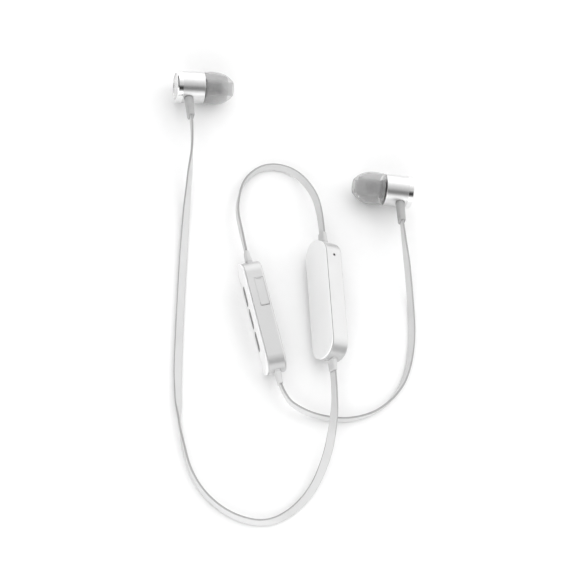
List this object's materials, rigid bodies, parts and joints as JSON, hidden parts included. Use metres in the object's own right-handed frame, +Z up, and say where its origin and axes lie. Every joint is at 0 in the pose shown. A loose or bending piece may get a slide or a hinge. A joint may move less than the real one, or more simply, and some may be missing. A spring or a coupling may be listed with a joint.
{
  "type": "in-ear earphones",
  "caption": "Wireless in-ear earphones on a flat neck cable, with metal barrels, silicone tips, a slim battery pod and a slim remote pod with side buttons.",
  "frame": {"origin": "on the table, under the middle of the earphones and pods", "axes": "+Z up from the table; +Y along the layout's long direction, towards the left earphone; +X towards the right earphone"},
  "size_m": [0.094, 0.1814, 0.0146],
  "materials": {
    "satin_aluminium": "satin turned",
    "polished_metal": "polished",
    "black_plastic": "satin",
    "white_gloss": "gloss",
    "steel_mesh": "woven mesh",
    "driver_steel": "plated",
    "diaphragm_film": "thin film",
    "smoke_silicone": "frosted silicone",
    "cable_rubber": "soft matt",
    "pod_white": "satin",
    "pod_silver": "satin",
    "circuit_board": "solder mask",
    "cell_foil": "foil pouch",
    "button_grey": "soft matt",
    "membrane_silicone": "matt"
  },
  "bodies": {
    "root": {"battery_band_shell": "pod_silver", "battery_board": "circuit_board", "battery_bottom_boot": "cable_rubber", "battery_cell": "cell_foil", "battery_face_shell": "pod_white", "battery_top_boot": "cable_rubber", "button_membrane": "membrane_silicone", "left_barrel": "satin_aluminium", "left_boot": "cable_rubber", "left_cord": "cable_rubber", "left_driver_basket": "driver_steel", "left_driver_diaphragm": "diaphragm_film", "left_driver_magnet": "driver_steel", "left_end_cap": "white_gloss", "left_front_housing": "black_plastic", "left_nozzle_mesh": "steel_mesh", "left_trim_ring": "polished_metal", "microphone_capsule": "driver_steel", "microphone_mesh": "steel_mesh", "neck_cord": "cable_rubber", "remote_band_shell": "pod_silver", "remote_board": "circuit_board", "remote_bottom_boot": "cable_rubber", "remote_face_shell": "pod_white", "remote_top_boot": "cable_rubber", "right_barrel": "satin_aluminium", "right_boot": "cable_rubber", "right_cord": "cable_rubber", "right_driver_basket": "driver_steel", "right_driver_diaphragm": "diaphragm_film", "right_driver_magnet": "driver_steel", "right_end_cap": "white_gloss", "right_front_housing": "black_plastic", "right_nozzle_mesh": "steel_mesh", "right_trim_ring": "polished_metal", "tact_switches": "driver_steel", "usb_cover_pin": "driver_steel", "usb_socket": "driver_steel"},
    "left_ear_tip": {"left_ear_tip": "smoke_silicone"},
    "play_button": {"play_button": "button_grey"},
    "right_ear_tip": {"right_ear_tip": "smoke_silicone"},
    "usb_cover": {"usb_cover": "pod_silver"},
    "volume_down_button": {"volume_down_button": "button_grey"},
    "volume_up_button": {"volume_up_button": "button_grey"}
  },
  "joints": [
    {"name": "volume_up_press", "type": "slide", "parent": "root", "child": "volume_up_button", "axis": [0.9749, 0.1966, 0.1045], "range_m": [0, 0.00035], "stiffness_N_per_m": 1200},
    {"name": "play_press", "type": "slide", "parent": "root", "child": "play_button", "axis": [0.9749, 0.1966, 0.1045], "range_m": [0, 0.00035], "stiffness_N_per_m": 1200},
    {"name": "volume_down_press", "type": "slide", "parent": "root", "child": "volume_down_button", "axis": [0.9749, 0.1966, 0.1045], "range_m": [0, 0.00035], "stiffness_N_per_m": 1200},
    {"name": "usb_cover_hinge", "type": "hinge", "parent": "root", "child": "usb_cover", "pos_m": [-0.01556, -0.03417, 0.0105], "axis": [0.9749, 0.1966, 0.1045], "range_deg": [0, 100]},
    {"name": "left_tip_pull", "type": "slide", "parent": "root", "child": "left_ear_tip", "axis": [0.9997, 0.0262, 0], "range_m": [0, 0.008]},
    {"name": "right_tip_pull", "type": "slide", "parent": "root", "child": "right_ear_tip", "axis": [-0.9981, 0.061, 0], "range_m": [-0.0004, 0.0076]}
  ]
}
